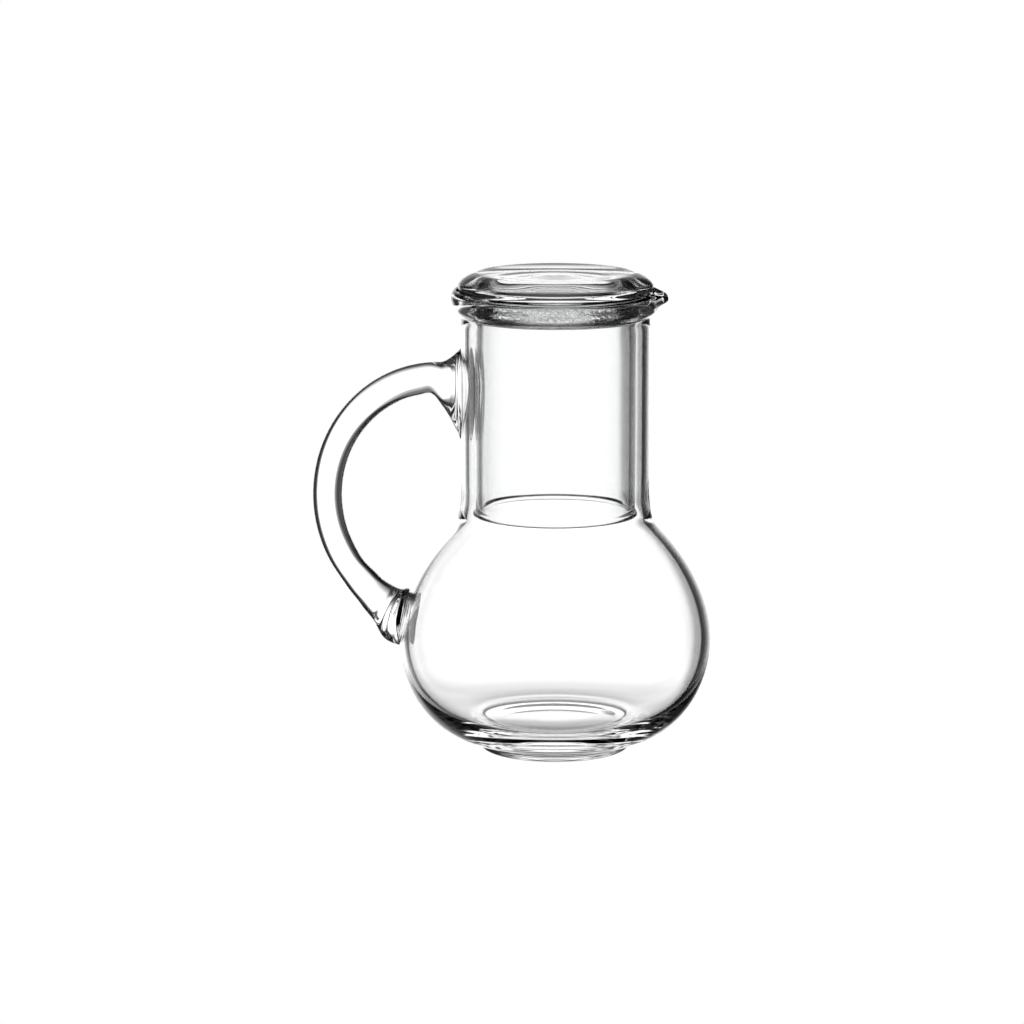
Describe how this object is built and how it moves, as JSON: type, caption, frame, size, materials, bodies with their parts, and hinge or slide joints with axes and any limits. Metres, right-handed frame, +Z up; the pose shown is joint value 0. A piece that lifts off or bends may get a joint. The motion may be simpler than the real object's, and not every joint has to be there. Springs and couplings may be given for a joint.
{
  "type": "glass jug with tumbler lid",
  "caption": "Clear glass table jug with a round belly, straight neck, rod handle and small pouring lip, closed by an upturned drinking tumbler that lifts out of the neck.",
  "frame": {"origin": "centre of the foot's bearing face, on the jug's axis", "axes": "+Z up along the jug's axis, +X towards the pouring lip, handle along -X"},
  "size_m": [0.1913, 0.1488, 0.2282],
  "materials": {
    "blown_glass": "clear, fire polished",
    "pressed_glass": "clear, pressed, stippled ring under the flange"
  },
  "bodies": {
    "jug": {"jug_body": "blown_glass", "handle": "blown_glass"},
    "lid": {"tumbler_lid": "pressed_glass"}
  },
  "joints": [
    {"name": "lid_lift", "type": "slide", "parent": "jug", "child": "lid", "axis": [0, 0, 1], "range_m": [0, 0.125]}
  ]
}
